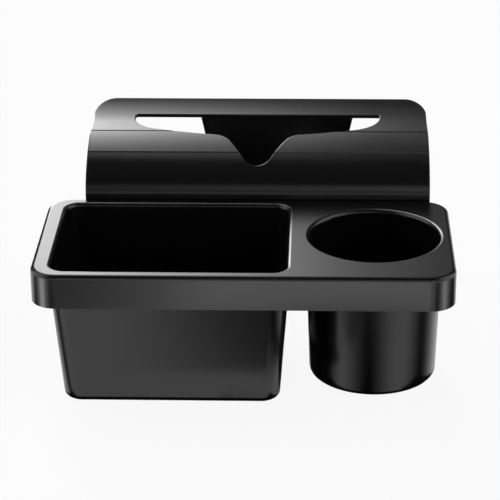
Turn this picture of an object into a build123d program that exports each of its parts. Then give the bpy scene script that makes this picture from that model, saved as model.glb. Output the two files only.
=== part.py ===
from build123d import *

import os
from math import cos, radians, sin, tan

# Car window cup holder, in millimetres. +X is the user's right, +Y points to the window glass, +Z is up.
# The origin lies under the middle of the whole holder, on the level of the wells' undersides.

# Tray: deck, skirt and the general wall
tray_width = 240.0
tray_depth = 114.0
tray_height = 86.0
tray_corner = 15.0
wall = 2.2
skirt_height = 20.3
deck_edge_radius = 2.4
rim_radius = 2.2

# Storage bin, which fills the deck up to its margins and the cup well
bin_corner = 11.0
bin_side_draft = 4.3
bin_front_draft = 5.4
bin_floor_round = 1.8
bin_left_margin = 9.0
bin_front_margin = 5.5
bin_back_margin = 5.5
well_gap = 8.0

# Cup well, measured over the rolled rim of its opening
cup_opening = 80.0
cup_draft = 1.8
cup_floor_round = 0.6
cup_right_margin = 5.0
cup_back_margin = 13.0

# Ribs under the deck
rib_height = 11.0
rib_wall = 1.6

# Hook panel: a sheet that rises behind the tray, arches back over the door sill and ends in an upturned lip
sheet = 2.3
panel_width = 208.4
panel_offset = 5.4
foot_radius = 20.0
foot_turn = 50.0
roof_radius = 58.0
crest_length = 13.0
lip_radius = 49.1
lip_turn = 31.0
lip_corner = 13.0
panel_edge_radius = 0.6
groove_flank = 0.9
groove_slopes = (3.4, 25.8)

# Tissue slot in the arch, with a rounded notch in its near edge
slot_length = 152.8
slot_offset = -1.6
slot_back_margin = 15.2
slot_width = 32.4
slot_bow = 14.7
slot_end_straights = (3.6, 1.1)
slot_corner_radii = (2.0, 0.7)
notch_offset = 1.0
notch_depth = 24.0
notch_radius = 9.5
notch_flank = 59.0
shoulder_radius = 13.0

# Tongue that goes down beside the window glass
tongue_root_width = 101.0
tongue_offset = 10.3
tongue_length = 55.0
tongue_taper = 12.0
tongue_corner = 12.0

# Screws through the panel's flange into bosses inside the back skirt
screw_offsets = (-88.0, -32.0, 32.0, 88.0)
screw_drop = 10.5
screw_diameter = 2.5
screw_length = 8.4
screw_tip = 0.8
screw_head_diameter = 5.6
screw_head_height = 1.8
screw_head_radius = 0.7
recess_length = 3.2
recess_width = 0.8
recess_depth = 1.0
boss_diameter = 7.0
boss_length = 4.5
pilot_clearance = 0.1
flange_hole_clearance = 0.9

# Foam pads
tongue_pad_thickness = 1.5
tongue_pad_margin = 7.0
tongue_pad_length = 36.0
tongue_pad_corner = 6.0
door_pad_width = 36.0
door_pad_height = 14.0
door_pad_thickness = 3.0
door_pad_corner = 3.0
door_pad_offset = 60.0

# Places that follow from the sizes
roof_turn = 90 - foot_turn
panel_reach = (
    foot_radius * (1 - cos(radians(foot_turn)))
    + roof_radius * sin(radians(roof_turn))
    + crest_length
    + lip_radius * sin(radians(lip_turn))
)
total_depth = tray_depth + panel_reach + tongue_pad_thickness
tray_front = -total_depth / 2
tray_back = tray_front + tray_depth
tray_middle = tray_front + tray_depth / 2
deck_top = tray_height
screw_level = deck_top - screw_drop

bin_width = tray_width - bin_left_margin - well_gap - cup_opening - cup_right_margin
bin_depth = tray_depth - bin_front_margin - bin_back_margin
bin_x = -tray_width / 2 + bin_left_margin + bin_width / 2
bin_y = tray_front + bin_front_margin + bin_depth / 2
bin_side_slope = tan(radians(bin_side_draft))
bin_front_slope = tan(radians(bin_front_draft))
cup_x = tray_width / 2 - cup_right_margin - cup_opening / 2
cup_y = tray_back - cup_back_margin - cup_opening / 2
cup_inner_radius = cup_opening / 2 - rim_radius
cup_outer_radius = cup_inner_radius + wall

panel_x = panel_offset
slot_x = panel_x + slot_offset
notch_x = slot_x + notch_offset
tongue_x = panel_x + tongue_offset
panel_back = tray_back + panel_reach

os.makedirs("parts", exist_ok=True)


# Tray body: one moulding
with BuildPart() as tray_body:
    # Deck with its skirt, open below
    with BuildSketch(Plane.XY.offset(deck_top)):
        with Locations((0, tray_middle)):
            RectangleRounded(tray_width, tray_depth, tray_corner)
    extrude(amount=-skirt_height)
    fillet(tray_body.faces().sort_by(Axis.Z)[-1].edges(), deck_edge_radius)
    with BuildSketch(Plane.XY.offset(deck_top - wall)):
        with Locations((0, tray_middle)):
            RectangleRounded(tray_width - 2 * wall, tray_depth - 2 * wall, tray_corner - wall)
    extrude(amount=-skirt_height, mode=Mode.SUBTRACT)

    # Outside of the storage bin
    bin_shell_width = bin_width - 2 * rim_radius + 2 * wall
    bin_shell_depth = bin_depth - 2 * rim_radius + 2 * wall
    with BuildSketch(Plane.XY.offset(deck_top)):
        with Locations((bin_x, bin_y)):
            RectangleRounded(bin_shell_width, bin_shell_depth, bin_corner)
    with BuildSketch(Plane.XY):
        with Locations((bin_x, bin_y)):
            RectangleRounded(
                bin_shell_width - 2 * tray_height * bin_side_slope,
                bin_shell_depth - 2 * tray_height * bin_front_slope,
                bin_corner,
            )
    loft(ruled=True)
    fillet(tray_body.faces().sort_by(Axis.Z)[0].edges(), bin_floor_round + wall)

    # Outside of the cup well
    cup_base_radius = cup_outer_radius - tray_height * tan(radians(cup_draft))
    with Locations((cup_x, cup_y, 0)):
        Cone(
            cup_base_radius,
            cup_outer_radius,
            tray_height,
            align=(Align.CENTER, Align.CENTER, Align.MIN),
        )
    fillet(tray_body.edges().filter_by(GeomType.CIRCLE).sort_by(Axis.Z)[0], cup_floor_round + wall)

    # Ribs that tie the wells to the skirt under the deck
    rib_level = deck_top - wall - rib_height / 2
    rib_x = (bin_x + bin_width / 2 + cup_x - cup_opening / 2) / 2
    with Locations((rib_x, tray_middle, rib_level)):
        Box(rib_wall, tray_depth - wall, rib_height)
    for rib_y in (bin_y - bin_depth / 4, bin_y + bin_depth / 4):
        with Locations((-tray_width / 2 + wall / 2, rib_y, rib_level)):
            Box(bin_left_margin + wall, rib_wall, rib_height, align=(Align.MIN, Align.CENTER, Align.CENTER))
    for rib_side in (bin_x - bin_width / 4, bin_x + bin_width / 4):
        with Locations((rib_side, tray_front + wall / 2, rib_level)):
            Box(rib_wall, bin_front_margin + wall, rib_height, align=(Align.CENTER, Align.MIN, Align.CENTER))
        with Locations((rib_side, tray_back - wall / 2, rib_level)):
            Box(rib_wall, bin_back_margin + wall, rib_height, align=(Align.CENTER, Align.MAX, Align.CENTER))
    with Locations((cup_x, tray_middle, rib_level)):
        Box(rib_wall, tray_depth - wall, rib_height)
    with Locations((tray_width / 2 - wall / 2, cup_y, rib_level)):
        Box(cup_right_margin + wall, rib_wall, rib_height, align=(Align.MAX, Align.CENTER, Align.CENTER))

    # Screw bosses inside the back skirt
    with BuildSketch(Plane((panel_x, tray_back - wall, screw_level), (1, 0, 0), (0, -1, 0))):
        with Locations(*[(offset_x, 0) for offset_x in screw_offsets]):
            Circle(boss_diameter / 2)
    extrude(amount=boss_length)

    # Inside of the storage bin
    bin_inner_width = bin_width - 2 * rim_radius
    bin_inner_depth = bin_depth - 2 * rim_radius
    bin_inner_corner = bin_corner - wall
    with BuildSketch(Plane.XY.offset(deck_top)):
        with Locations((bin_x, bin_y)):
            RectangleRounded(bin_inner_width, bin_inner_depth, bin_inner_corner)
    with BuildSketch(Plane.XY.offset(wall)):
        with Locations((bin_x, bin_y)):
            RectangleRounded(
                bin_inner_width - 2 * (tray_height - wall) * bin_side_slope,
                bin_inner_depth - 2 * (tray_height - wall) * bin_front_slope,
                bin_inner_corner,
            )
    loft(ruled=True, mode=Mode.SUBTRACT)

    # Inside of the cup well
    cup_floor_radius = cup_inner_radius - (tray_height - wall) * tan(radians(cup_draft))
    with Locations((cup_x, cup_y, wall)):
        Cone(
            cup_floor_radius,
            cup_inner_radius,
            tray_height - wall,
            align=(Align.CENTER, Align.CENTER, Align.MIN),
            mode=Mode.SUBTRACT,
        )

    # Rounded floor corners and rolled rims
    for side, floor_round in ((0, bin_floor_round), (-1, cup_floor_round)):
        well_floors = tray_body.faces().filter_by(Plane.XY).group_by(Axis.Z)[1].sort_by(Axis.X)
        fillet(well_floors[side].edges(), floor_round)
    deck_face = tray_body.faces().sort_by(Axis.Z)[-1]
    fillet(deck_face.inner_wires().edges(), rim_radius)

    # Pilot holes for the screws
    with BuildSketch(Plane((panel_x, tray_back, screw_level), (1, 0, 0), (0, -1, 0))):
        with Locations(*[(offset_x, 0) for offset_x in screw_offsets]):
            Circle((screw_diameter + pilot_clearance) / 2)
    extrude(amount=wall + boss_length, mode=Mode.SUBTRACT)
tray_body.part.label = "tray_body"
export_step(tray_body.part, "parts/tray_body.step")


# Hook panel: one moulded sheet
panel_plane = Plane((panel_x, tray_back, deck_top), (0, 1, 0), (1, 0, 0))
panel_top = deck_top + foot_radius + roof_radius + lip_radius
with BuildPart() as hook_panel:
    # Side view of the sheet, from the flange's foot to the lip
    with BuildSketch(panel_plane):
        with BuildLine():
            flange_line = Line((0, -skirt_height), (0, 0))
            foot_arc = JernArc(flange_line @ 1, flange_line % 1, foot_radius, -foot_turn)
            roof_arc = JernArc(foot_arc @ 1, foot_arc % 1, roof_radius, -roof_turn)
            crest_line = Line(roof_arc @ 1, roof_arc @ 1 + Vector(crest_length, 0))
            lip_arc = JernArc(crest_line @ 1, crest_line % 1, lip_radius, lip_turn)
            lip_end = lip_arc @ 1
            groove_places = [roof_arc @ (1 - slope / roof_turn) for slope in groove_slopes]
            offset(amount=sheet, side=Side.RIGHT, closed=True)
        make_face()
    extrude(amount=panel_width / 2, both=True)

    # Plan view: straight sides, an upright back edge and rounded back corners
    with BuildSketch(Plane.XY) as panel_plan:
        with Locations((panel_x, tray_back)):
            Rectangle(panel_width, panel_reach, align=(Align.CENTER, Align.MIN))
        fillet(panel_plan.vertices().group_by(Axis.Y)[-1], lip_corner)
    extrude(amount=panel_top, mode=Mode.INTERSECT)

    # Tissue slot with its notch, cut straight down
    # The bowed near edge sweeps up into short straight ends
    slot_far = panel_back - slot_back_margin
    slot_near = slot_far - slot_width
    slot_half = slot_length / 2
    bow_radius = (slot_half**2 + slot_bow**2) / (2 * slot_bow)
    slot_left = (slot_x - slot_half, slot_near + slot_bow)
    slot_right = (slot_x + slot_half, slot_near + slot_bow)
    notch_tip = slot_near - notch_depth - notch_radius * (1 / cos(radians(notch_flank)) - 1)
    notch_reach = (slot_near + slot_bow - notch_tip) / tan(radians(notch_flank))
    with BuildSketch(Plane.XY.offset(deck_top)) as slot_outline:
        with BuildLine():
            ThreePointArc(slot_left, (slot_x, slot_near), slot_right)
            Polyline(slot_right, (slot_x + slot_half, slot_far), (slot_x - slot_half, slot_far), slot_left)
        make_face()
        for end, end_straight, corner_radius in zip((0, -1), slot_end_straights, slot_corner_radii):
            sweep_drop = slot_near + bow_radius - slot_far + end_straight
            end_radius = (bow_radius**2 - slot_half**2 - sweep_drop**2) / (2 * (bow_radius - slot_half))
            fillet(slot_outline.vertices().group_by(Axis.X)[end].sort_by(Axis.Y)[0], end_radius)
            fillet(slot_outline.vertices().group_by(Axis.X)[end].sort_by(Axis.Y)[-1], corner_radius)
        with BuildLine():
            Polyline(
                (notch_x - notch_reach, slot_left[1]),
                (notch_x, notch_tip),
                (notch_x + notch_reach, slot_right[1]),
                close=True,
            )
        make_face()
        fillet(slot_outline.vertices().sort_by(Axis.Y)[0], notch_radius)
        shoulders = slot_outline.vertices().sort_by(lambda corner: abs(corner.Y - slot_near))
        fillet(shoulders[0:2], shoulder_radius)
    extrude(amount=panel_top - deck_top, mode=Mode.SUBTRACT)

    # Rounded edges along the sides, the lip and the slot
    bent_edges = hook_panel.edges()
    for straight in (Axis.X, Axis.Y, Axis.Z):
        bent_edges = bent_edges.filter_by(straight, reverse=True)
    fillet(bent_edges, panel_edge_radius)

    # Flex grooves across the sheet
    for groove_place, slope in zip(groove_places, groove_slopes):
        with BuildSketch(panel_plane):
            with Locations(groove_place):
                Rectangle(groove_flank, groove_flank, rotation=45 + slope)
        extrude(amount=panel_width / 2 + sheet, both=True, mode=Mode.SUBTRACT)

    # Tongue below the lip, flush with the lip's back edge
    tongue_root = lip_end.Y - 3 * sheet / 4
    tongue_foot = tongue_root - tongue_length
    tongue_foot_width = tongue_root_width - 2 * tongue_length * tan(radians(tongue_taper))
    tongue_plane = Plane((tongue_x, panel_back, deck_top), (1, 0, 0), (0, -1, 0))
    with BuildSketch(tongue_plane) as tongue_outline:
        with BuildLine():
            Polyline(
                (-tongue_root_width / 2, tongue_root),
                (-tongue_foot_width / 2, tongue_foot),
                (tongue_foot_width / 2, tongue_foot),
                (tongue_root_width / 2, tongue_root),
                close=True,
            )
        make_face()
        fillet(tongue_outline.vertices().group_by(Axis.Y)[0], tongue_corner)
    tongue = extrude(amount=sheet, mode=Mode.PRIVATE)
    tongue_edges = tongue.edges().filter_by(Axis.Y, reverse=True).sort_by(Axis.Z)[:-2]
    add(tongue.solid().fillet(panel_edge_radius, tongue_edges))

    # Screw holes in the flange
    with BuildSketch(Plane((panel_x, tray_back, screw_level), (1, 0, 0), (0, -1, 0))):
        with Locations(*[(offset_x, 0) for offset_x in screw_offsets]):
            Circle((screw_diameter + flange_hole_clearance) / 2)
    extrude(amount=-sheet, mode=Mode.SUBTRACT)
hook_panel.part.label = "hook_panel"
export_step(hook_panel.part, "parts/hook_panel.step")


# Screws: round heads on the flange's door side, shanks through flange and skirt into the bosses
with BuildPart() as panel_screws:
    head_plane = Plane((panel_x, tray_back + sheet, screw_level), (1, 0, 0), (0, -1, 0))
    with BuildSketch(head_plane):
        with Locations(*[(offset_x, 0) for offset_x in screw_offsets]):
            Circle(screw_head_diameter / 2)
    extrude(amount=-screw_head_height)
    fillet(panel_screws.edges().group_by(Axis.Y)[-1], screw_head_radius)
    with BuildSketch(head_plane):
        with Locations(*[(offset_x, 0) for offset_x in screw_offsets]):
            Circle(screw_diameter / 2)
    extrude(amount=screw_length)
    chamfer(panel_screws.edges().group_by(Axis.Y)[0], screw_tip)
    with BuildSketch(head_plane.offset(-screw_head_height)):
        with Locations(*[(offset_x, 0) for offset_x in screw_offsets]):
            Rectangle(recess_length, recess_width)
            Rectangle(recess_width, recess_length)
    extrude(amount=recess_depth, mode=Mode.SUBTRACT)
panel_screws.part.label = "panel_screws"
export_step(panel_screws.part, "parts/panel_screws.step")


# Tongue pad: thin foam on the glass side of the tongue, with the tongue's taper
pad_top_width = tongue_root_width - 2 * tongue_pad_margin
pad_top_width -= 2 * (tongue_length - tongue_pad_margin - tongue_pad_length) * tan(radians(tongue_taper))
pad_foot_width = pad_top_width - 2 * tongue_pad_length * tan(radians(tongue_taper))
with BuildPart() as tongue_pad:
    with BuildSketch(tongue_plane) as pad_outline:
        with BuildLine():
            Polyline(
                (-pad_top_width / 2, tongue_foot + tongue_pad_margin + tongue_pad_length),
                (-pad_foot_width / 2, tongue_foot + tongue_pad_margin),
                (pad_foot_width / 2, tongue_foot + tongue_pad_margin),
                (pad_top_width / 2, tongue_foot + tongue_pad_margin + tongue_pad_length),
                close=True,
            )
        make_face()
        fillet(pad_outline.vertices(), tongue_pad_corner)
    extrude(amount=-tongue_pad_thickness)
tongue_pad.part.label = "tongue_pad"
export_step(tongue_pad.part, "parts/tongue_pad.step")


# Door pads: foam strips on the flange, between the screws
for pad_name, pad_side in (("door_pad_left", -1), ("door_pad_right", 1)):
    pad_x = panel_x + pad_side * door_pad_offset
    with BuildPart() as door_pad:
        with BuildSketch(Plane((pad_x, tray_back + sheet, screw_level), (1, 0, 0), (0, -1, 0))):
            RectangleRounded(door_pad_width, door_pad_height, door_pad_corner)
        extrude(amount=-door_pad_thickness)
    door_pad.part.label = pad_name
    export_step(door_pad.part, f"parts/{pad_name}.step")
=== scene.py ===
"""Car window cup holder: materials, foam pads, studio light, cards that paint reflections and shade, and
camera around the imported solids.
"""

from math import atan2, cos, radians, sin

import bmesh
import bpy
from mathutils import Matrix, Vector


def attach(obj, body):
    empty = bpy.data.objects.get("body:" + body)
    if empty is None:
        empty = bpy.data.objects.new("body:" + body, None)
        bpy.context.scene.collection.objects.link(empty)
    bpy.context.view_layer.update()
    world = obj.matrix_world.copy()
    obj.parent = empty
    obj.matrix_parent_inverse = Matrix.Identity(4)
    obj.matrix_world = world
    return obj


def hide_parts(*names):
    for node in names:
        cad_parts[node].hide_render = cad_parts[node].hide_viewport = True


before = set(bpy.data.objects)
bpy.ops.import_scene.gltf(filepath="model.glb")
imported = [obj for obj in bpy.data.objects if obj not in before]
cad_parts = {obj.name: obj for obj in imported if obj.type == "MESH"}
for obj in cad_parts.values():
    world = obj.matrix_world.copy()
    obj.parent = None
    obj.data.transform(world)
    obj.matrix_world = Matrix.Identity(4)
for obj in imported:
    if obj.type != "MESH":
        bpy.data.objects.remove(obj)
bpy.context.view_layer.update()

# Camera, found from the tray's straight edges in the photograph
PHOTO_SIZE = 500
FOCAL_PIXELS = 2110.6
SENSOR_WIDTH = 36.0
CAMERA_PLACE = Vector((0.04025, -1.16648, 0.57057))
CAMERA_PITCH = 23.662
CAMERA_YAW = 1.913
CAMERA_ROLL = -0.3635

# Black plastic: patterns in cells per metre, heights in metres
PLASTIC_BLACK = (0.003, 0.003, 0.0032, 1)
PLASTIC_ROUGHNESS = 0.22
PLASTIC_UNEVENNESS = 0.03
PLASTIC_IOR = 1.58
CLOUD_SCALE = 18
GRAIN_SCALE = 2600
GRAIN_HEIGHT = 0.000012

# Plated steel
STEEL_GREY = (0.42, 0.42, 0.43, 1)
STEEL_ROUGHNESS = (0.24, 0.42)
STEEL_CLOUD_SCALE = 900
STEEL_GRAIN_SCALE = 2500
STEEL_GRAIN_HEIGHT = 0.00002

# Foam pads: cells, then the soft edge
FOAM_BLACK = (0.014, 0.014, 0.015, 1)
FOAM_ROUGHNESS = 0.92
FOAM_CELL_SCALE = 1500
FOAM_CELL_HEIGHT = 0.00015
FOAM_EDGE = 0.0005
FOAM_EDGE_STEPS = 3
FOAM_EDGE_PROFILE = 0.5
MERGE_DISTANCE = 0.00001
LEVEL_TOLERANCE = FOAM_EDGE / 10
SIDE_FACE_LIMIT = 0.5

# Floor: how far it glows in the picture and in reflections, from 0 to 1
FLOOR_HALF = 6.0
FLOOR_WHITE = (0.92, 0.92, 0.92, 1)
FLOOR_ROUGHNESS = 0.9
CAMERA_GLOW = 0.91
MIRROR_GLOW = 0.9

# Light dome, in degrees: heights, and bearings from straight behind or, for the fill, from straight in front
KEY_RADIANCE = 7.2
KEY_LEFT = (-34, -24)
KEY_RIGHT = (-16.5, 4)
KEY_TOP = (22, 94)
FILL_RADIANCE = 0.85
FILL_LEFT = (-16, 12)
FILL_RIGHT = (35, 60)
FILL_FOOT = (7, 14)
FILL_TOP = (18, 34)
HORIZON = (1, 5)
HORIZON_RADIANCE = 0.92
TOP_RADIANCE = 0.06
SIDE_RADIANCE = 1.1
SIDE_BACK = (42, 65)
SIDE_FRONT = (115, 140)
SIDE_TOP = (45, 75)

# Radiance of a dark card, which paints shade into reflections
DARK = 0.01

# Upright round walls that mirror the floor: middle of the round and its radius
CUP_WALL = ((0.075, -0.0381), 0.0384)
LEFT_CORNER = ((-0.105, -0.0841), 0.015)
RIGHT_CORNER = ((0.105, -0.0841), 0.015)
BIN_CORNER = ((-0.096, -0.0776), 0.011)
CORNER_REACH = (0.11, 0.22)
WELL_REACH = (0.0, 0.16)
CUP_REACH = (0.0, 0.07)
FOOT_REACH = (-0.03, 0.002)

# Cards that those walls mirror as stripes, seen only in reflections: bright ones are painted reflections,
# dark ones painted shade, the one at the cup's foot a painted shadow: name, wall, bearings of the wall,
# reach, radiance and soft edges
STRIPE_CARDS = (
    ("cup_left_dark", CUP_WALL, (-84, -31), CUP_REACH, DARK, (0, 0.3)),
    ("cup_middle_dark", CUP_WALL, (-32, 20), WELL_REACH, DARK, (0.5, 0.5)),
    ("cup_right_dark", CUP_WALL, (24, 69), WELL_REACH, DARK, (0.5, 0.5)),
    ("cup_foot_painted_shadow", CUP_WALL, (-90, 90), FOOT_REACH, DARK, (0, 0)),
    ("bin_left_dark", BIN_CORNER, (-58, -28), WELL_REACH, DARK, (0.5, 0.5)),
    ("left_front_dark", LEFT_CORNER, (-18, 0), CORNER_REACH, DARK, (0.4, 0.4)),
    ("left_bright", LEFT_CORNER, (-40, -18), CORNER_REACH, 4.6, (0.5, 0.5)),
    ("left_side_dark", LEFT_CORNER, (-60, -38), CORNER_REACH, DARK, (0.5, 0.5)),
    ("right_front_dark", RIGHT_CORNER, (6, 24), CORNER_REACH, DARK, (0.4, 0.4)),
    ("right_bright", RIGHT_CORNER, (22, 42), CORNER_REACH, 2.8, (0.5, 0.5)),
    ("right_side_dark", RIGHT_CORNER, (39, 72), CORNER_REACH, DARK, (0.4, 0.4)),
)

# Cards in front of the flat walls, seen only in reflections: painted reflections, and painted shadow under
# the bin's foot and under the panel: name, sides, near and far end, radiance and soft edges
PLAIN_CARDS = (
    ("front_bright", (-0.08, 0.135), (-0.23, -0.34), 1.8, (0.3, 0.05)),
    ("front_dim", (-0.15, -0.03), (-0.22, -0.34), 0.2, (0.05, 0.95)),
    ("bin_dim", (-0.09, 0.03), (-0.115, -0.21), 0.3, (0.9, 0.05)),
    ("bin_foot_painted_shadow", (-0.108, 0.024), (0.0, -0.089), DARK, (0.02, 0.02)),
    ("under_panel_painted_shadow", (-0.12, 0.13), (0.005, 0.16), DARK, (0.1, 0.1)),
)
CARD_LIFT = 0.00004
CARD_STEPS = 12
SHARP_EDGE = 0.001

# Dark flag behind the left side, seen only in reflections, a painted dark reflection along the deck's left
# edge: sides, distance, heights and soft edges
FLAG_SIDES = (-0.40, -0.168)
FLAG_DISTANCE = 0.215
FLAG_HEIGHTS = (0.03, 0.36)
FLAG_SOFT = (0, 0.12)


def new_material(name):
    """An empty node material, with its node tree and the main shader."""
    material = bpy.data.materials.new(name)
    material.use_nodes = True
    shader = material.node_tree.nodes["Principled BSDF"]
    return material, material.node_tree, shader


def add_node(tree, kind, **settings):
    """A node with settings for its properties and, by socket name, its inputs."""
    node = tree.nodes.new(kind)
    for name, value in settings.items():
        if name in node.inputs:
            node.inputs[name].default_value = value
        else:
            setattr(node, name, value)
    return node


def object_place(tree):
    """The point on the object, in metres."""
    return add_node(tree, "ShaderNodeTexCoord").outputs["Object"]


def noise(tree, place, scale, detail=3.0):
    """A noise pattern at a given number of cells per metre."""
    node = add_node(tree, "ShaderNodeTexNoise", Scale=scale, Detail=detail)
    tree.links.new(place, node.inputs["Vector"])
    return node.outputs["Fac"]


def spread(tree, value, low, high):
    """A pattern from 0 to 1, stretched to run from low to high."""
    node = add_node(tree, "ShaderNodeMapRange")
    node.inputs["To Min"].default_value = low
    node.inputs["To Max"].default_value = high
    tree.links.new(value, node.inputs["Value"])
    return node.outputs["Result"]


def combine(tree, operation, *values):
    """The result of a calculation on patterns or numbers."""
    node = add_node(tree, "ShaderNodeMath", operation=operation)
    for socket, value in zip(node.inputs, values):
        if isinstance(value, (int, float)):
            socket.default_value = value
        else:
            tree.links.new(value, socket)
    return node.outputs[0]


def add_bump(tree, shader, height, distance):
    """Raises the surface by a pattern times a distance in metres."""
    node = add_node(tree, "ShaderNodeBump", Strength=1.0, Distance=distance)
    tree.links.new(height, node.inputs["Height"])
    tree.links.new(node.outputs["Normal"], shader.inputs["Normal"])


def satin_plastic(name, roughness):
    """Black moulded plastic with a fine even grain."""
    material, tree, shader = new_material(name)
    place = object_place(tree)
    shader.inputs["Base Color"].default_value = PLASTIC_BLACK
    shader.inputs["IOR"].default_value = PLASTIC_IOR
    cloudy = noise(tree, place, CLOUD_SCALE)
    uneven = spread(tree, cloudy, roughness - PLASTIC_UNEVENNESS, roughness + PLASTIC_UNEVENNESS)
    tree.links.new(uneven, shader.inputs["Roughness"])
    grain = noise(tree, place, GRAIN_SCALE, detail=1.0)
    add_bump(tree, shader, grain, GRAIN_HEIGHT)
    return material


def plated_steel(name):
    """Bright zinc-plated steel, a little uneven."""
    material, tree, shader = new_material(name)
    place = object_place(tree)
    shader.inputs["Base Color"].default_value = STEEL_GREY
    shader.inputs["Metallic"].default_value = 1.0
    cloudy = noise(tree, place, STEEL_CLOUD_SCALE)
    tree.links.new(spread(tree, cloudy, *STEEL_ROUGHNESS), shader.inputs["Roughness"])
    add_bump(tree, shader, noise(tree, place, STEEL_GRAIN_SCALE), STEEL_GRAIN_HEIGHT)
    return material


def black_foam(name):
    """Closed-cell foam with small cells."""
    material, tree, shader = new_material(name)
    place = object_place(tree)
    shader.inputs["Base Color"].default_value = FOAM_BLACK
    shader.inputs["Roughness"].default_value = FOAM_ROUGHNESS
    cells = add_node(tree, "ShaderNodeTexVoronoi", Scale=FOAM_CELL_SCALE)
    tree.links.new(place, cells.inputs["Vector"])
    add_bump(tree, shader, cells.outputs["Distance"], FOAM_CELL_HEIGHT)
    return material


def glowing_floor(name):
    """Pale floor that stays white in the picture and in reflections, and keeps a faint soft shadow."""
    material, tree, shader = new_material(name)
    shader.inputs["Base Color"].default_value = FLOOR_WHITE
    shader.inputs["Roughness"].default_value = FLOOR_ROUGHNESS
    rays = add_node(tree, "ShaderNodeLightPath").outputs
    seen = combine(tree, "MULTIPLY", rays["Is Camera Ray"], CAMERA_GLOW)
    mirrored = combine(tree, "MULTIPLY", rays["Is Glossy Ray"], MIRROR_GLOW)
    through = combine(tree, "MULTIPLY", rays["Is Transmission Ray"], CAMERA_GLOW)
    share = combine(tree, "MAXIMUM", combine(tree, "MAXIMUM", seen, mirrored), through)
    glow = add_node(tree, "ShaderNodeEmission", Strength=1.0)
    mix = add_node(tree, "ShaderNodeMixShader")
    tree.links.new(share, mix.inputs[0])
    tree.links.new(shader.outputs[0], mix.inputs[1])
    tree.links.new(glow.outputs[0], mix.inputs[2])
    tree.links.new(mix.outputs[0], tree.nodes["Material Output"].inputs["Surface"])
    return material


def dress(node, material):
    """Gives a solid its finish."""
    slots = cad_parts[node].data.materials
    slots.clear()
    slots.append(material)


def foam_piece(node, name, material):
    """A die-cut foam pad in a solid's place, its outer edge softly rounded."""
    pad = bpy.data.objects.new(name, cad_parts[node].data.copy())
    bpy.context.scene.collection.objects.link(pad)
    pad.data.materials.clear()
    pad.data.materials.append(material)
    mesh = bmesh.new()
    mesh.from_mesh(pad.data)
    bmesh.ops.remove_doubles(mesh, verts=mesh.verts, dist=MERGE_DISTANCE)
    outer = max(vertex.co.y for vertex in mesh.verts)
    rim = [
        edge for edge in mesh.edges
        if all(vertex.co.y > outer - LEVEL_TOLERANCE for vertex in edge.verts)
        and any(abs(face.normal.y) < SIDE_FACE_LIMIT for face in edge.link_faces)
    ]
    bmesh.ops.bevel(
        mesh, geom=rim, offset=FOAM_EDGE, segments=FOAM_EDGE_STEPS, profile=FOAM_EDGE_PROFILE, affect="EDGES"
    )
    mesh.to_mesh(pad.data)
    mesh.free()
    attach(pad, "root")
    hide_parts(node)


def ramp(tree, value, start, end, low, high):
    """A smooth change from low to high while a value goes from start to end."""
    node = add_node(tree, "ShaderNodeMapRange", interpolation_type="SMOOTHSTEP")
    for name, number in (("From Min", start), ("From Max", end), ("To Min", low), ("To Max", high)):
        node.inputs[name].default_value = number
    tree.links.new(value, node.inputs["Value"])
    return node.outputs["Result"]


def soft_light(tree, radiance, *edges):
    """A light on the dome. Each edge is a direction in radians, and where it rises or falls in degrees."""
    light = radiance
    for value, (start, end), rising in edges:
        low, high = (0, 1) if rising else (1, 0)
        edge = ramp(tree, value, radians(start), radians(end), low, high)
        light = combine(tree, "MULTIPLY", edge, light)
    return light


def studio_dome():
    """A strong light behind on the left, a dim one in front, soft ones at the sides and a pale horizon."""
    world = bpy.data.worlds.new("studio")
    world.use_nodes = True
    tree = world.node_tree
    parts = add_node(tree, "ShaderNodeSeparateXYZ")
    tree.links.new(add_node(tree, "ShaderNodeTexCoord").outputs["Generated"], parts.inputs[0])
    forward = combine(tree, "MULTIPLY", parts.outputs["Y"], -1)
    behind = combine(tree, "ARCTAN2", parts.outputs["X"], parts.outputs["Y"])
    before = combine(tree, "ARCTAN2", parts.outputs["X"], forward)
    either_side = combine(tree, "ABSOLUTE", behind)
    height = combine(tree, "ARCSINE", parts.outputs["Z"])
    lights = (
        soft_light(
            tree, KEY_RADIANCE,
            (behind, KEY_LEFT, True), (behind, KEY_RIGHT, False), (height, KEY_TOP, False),
        ),
        soft_light(
            tree, FILL_RADIANCE,
            (before, FILL_LEFT, True), (before, FILL_RIGHT, False),
            (height, FILL_FOOT, True), (height, FILL_TOP, False),
        ),
        soft_light(
            tree, SIDE_RADIANCE,
            (either_side, SIDE_BACK, True), (either_side, SIDE_FRONT, False), (height, SIDE_TOP, False),
        ),
    )
    total = ramp(tree, height, radians(HORIZON[0]), radians(HORIZON[1]), HORIZON_RADIANCE, TOP_RADIANCE)
    for light in lights:
        total = combine(tree, "ADD", total, light)
    background = tree.nodes["Background"]
    background.inputs["Color"].default_value = (1, 1, 1, 1)
    tree.links.new(total, background.inputs["Strength"])
    bpy.context.scene.world = world


def stripe_rows(wall, bearings, reach, level):
    """Near and far ends of the floor that the camera sees mirrored in a round wall, between two bearings."""
    (middle_x, middle_y), radius = wall
    view = atan2(middle_x - CAMERA_PLACE.x, middle_y - CAMERA_PLACE.y)
    rows = []
    for step in range(CARD_STEPS + 1):
        bearing = radians(bearings[0] + (bearings[1] - bearings[0]) * step / CARD_STEPS)
        heading = 2 * bearing + view
        rows.append([
            (
                middle_x + radius * sin(bearing) + distance * sin(heading),
                middle_y - radius * cos(bearing) - distance * cos(heading),
                level,
            )
            for distance in reach
        ])
    return rows


def plain_rows(sides, ends):
    """Two ends of a straight card, each a depth and a height, from its left to its right side."""
    left, right = sides
    places = [left + (right - left) * step / CARD_STEPS for step in range(CARD_STEPS + 1)]
    return [[(place, *end) for end in ends] for place in places]


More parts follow.
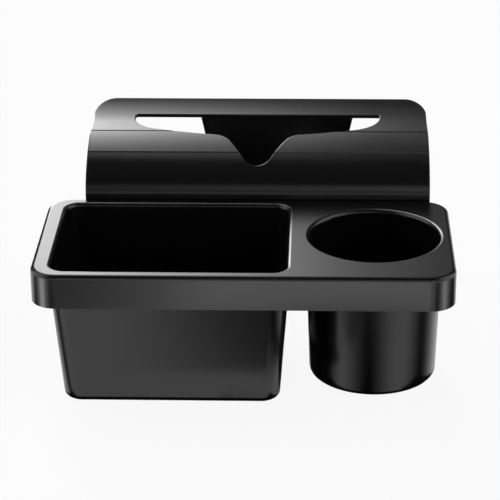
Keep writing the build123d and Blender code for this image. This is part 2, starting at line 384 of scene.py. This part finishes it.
def card(name, rows, radiance, soft):
    """A card that only reflections see, a painted reflection when bright and painted shade when dark, fading
    out at its sides.
    """
    corners = [point for row in rows for point in row]
    faces = [(2 * step, 2 * step + 1, 2 * step + 3, 2 * step + 2) for step in range(CARD_STEPS)]
    mesh = bpy.data.meshes.new(name)
    mesh.from_pydata(corners, [], faces)
    across = mesh.uv_layers.new()
    for loop in mesh.loops:
        across.data[loop.index].uv = (loop.vertex_index // 2 / CARD_STEPS, loop.vertex_index % 2)
    reflection_sheet = bpy.data.objects.new(name, mesh)
    bpy.context.scene.collection.objects.link(reflection_sheet)
    reflection_sheet.visible_camera = False
    reflection_sheet.visible_diffuse = False
    reflection_sheet.visible_shadow = False
    reflection_sheet.visible_transmission = False
    material, tree, shader = new_material(name + "_painted_reflection")
    tree.nodes.remove(shader)
    parts = add_node(tree, "ShaderNodeSeparateXYZ")
    tree.links.new(add_node(tree, "ShaderNodeTexCoord").outputs["UV"], parts.inputs[0])
    left = ramp(tree, parts.outputs["X"], 0, max(soft[0], SHARP_EDGE), 0, 1)
    right = ramp(tree, parts.outputs["X"], 1 - max(soft[1], SHARP_EDGE), 1, 1, 0)
    cover = add_node(tree, "ShaderNodeMixShader")
    tree.links.new(combine(tree, "MULTIPLY", left, right), cover.inputs[0])
    tree.links.new(add_node(tree, "ShaderNodeBsdfTransparent").outputs[0], cover.inputs[1])
    tree.links.new(add_node(tree, "ShaderNodeEmission", Strength=radiance).outputs[0], cover.inputs[2])
    tree.links.new(cover.outputs[0], tree.nodes["Material Output"].inputs["Surface"])
    mesh.materials.append(material)


# Materials
dress("tray_body", satin_plastic("tray_satin", PLASTIC_ROUGHNESS))
dress("hook_panel", satin_plastic("panel_satin", PLASTIC_ROUGHNESS))
dress("panel_screws", plated_steel("screw_zinc"))
foam = black_foam("pad_foam")
foam_piece("tongue_pad", "tongue_foam", foam)
foam_piece("door_pad_left", "door_foam_left", foam)
foam_piece("door_pad_right", "door_foam_right", foam)

# Floor
bpy.ops.mesh.primitive_plane_add(size=2 * FLOOR_HALF)
floor = bpy.context.object
floor.name = "floor"
floor.data.materials.append(glowing_floor("floor_white"))

# Studio light from the dome, then cards that light nothing and only paint reflections and shade into the
# walls
studio_dome()
level = 0
for name, sides, ends, radiance, soft in PLAIN_CARDS:
    level += CARD_LIFT
    card(name, plain_rows(sides, [(end, level) for end in ends]), radiance, soft)
for name, wall, bearings, reach, radiance, soft in STRIPE_CARDS:
    level += CARD_LIFT
    card(name, stripe_rows(wall, bearings, reach, level), radiance, soft)
flag_ends = [(FLAG_DISTANCE, height) for height in FLAG_HEIGHTS]
card("flag", plain_rows(FLAG_SIDES, flag_ends), DARK, FLAG_SOFT)

# Camera
camera_data = bpy.data.cameras.new("photo_camera")
camera_data.sensor_width = SENSOR_WIDTH
camera_data.lens = SENSOR_WIDTH * FOCAL_PIXELS / PHOTO_SIZE
camera = bpy.data.objects.new("photo_camera", camera_data)
bpy.context.scene.collection.objects.link(camera)
turn = Matrix.Rotation(radians(CAMERA_YAW), 4, "Z")
tilt = Matrix.Rotation(radians(90 - CAMERA_PITCH), 4, "X")
roll = Matrix.Rotation(radians(CAMERA_ROLL), 4, "Z")
camera.matrix_world = Matrix.Translation(CAMERA_PLACE) @ turn @ tilt @ roll
bpy.context.scene.camera = camera
bpy.context.scene.view_settings.view_transform = "Standard"
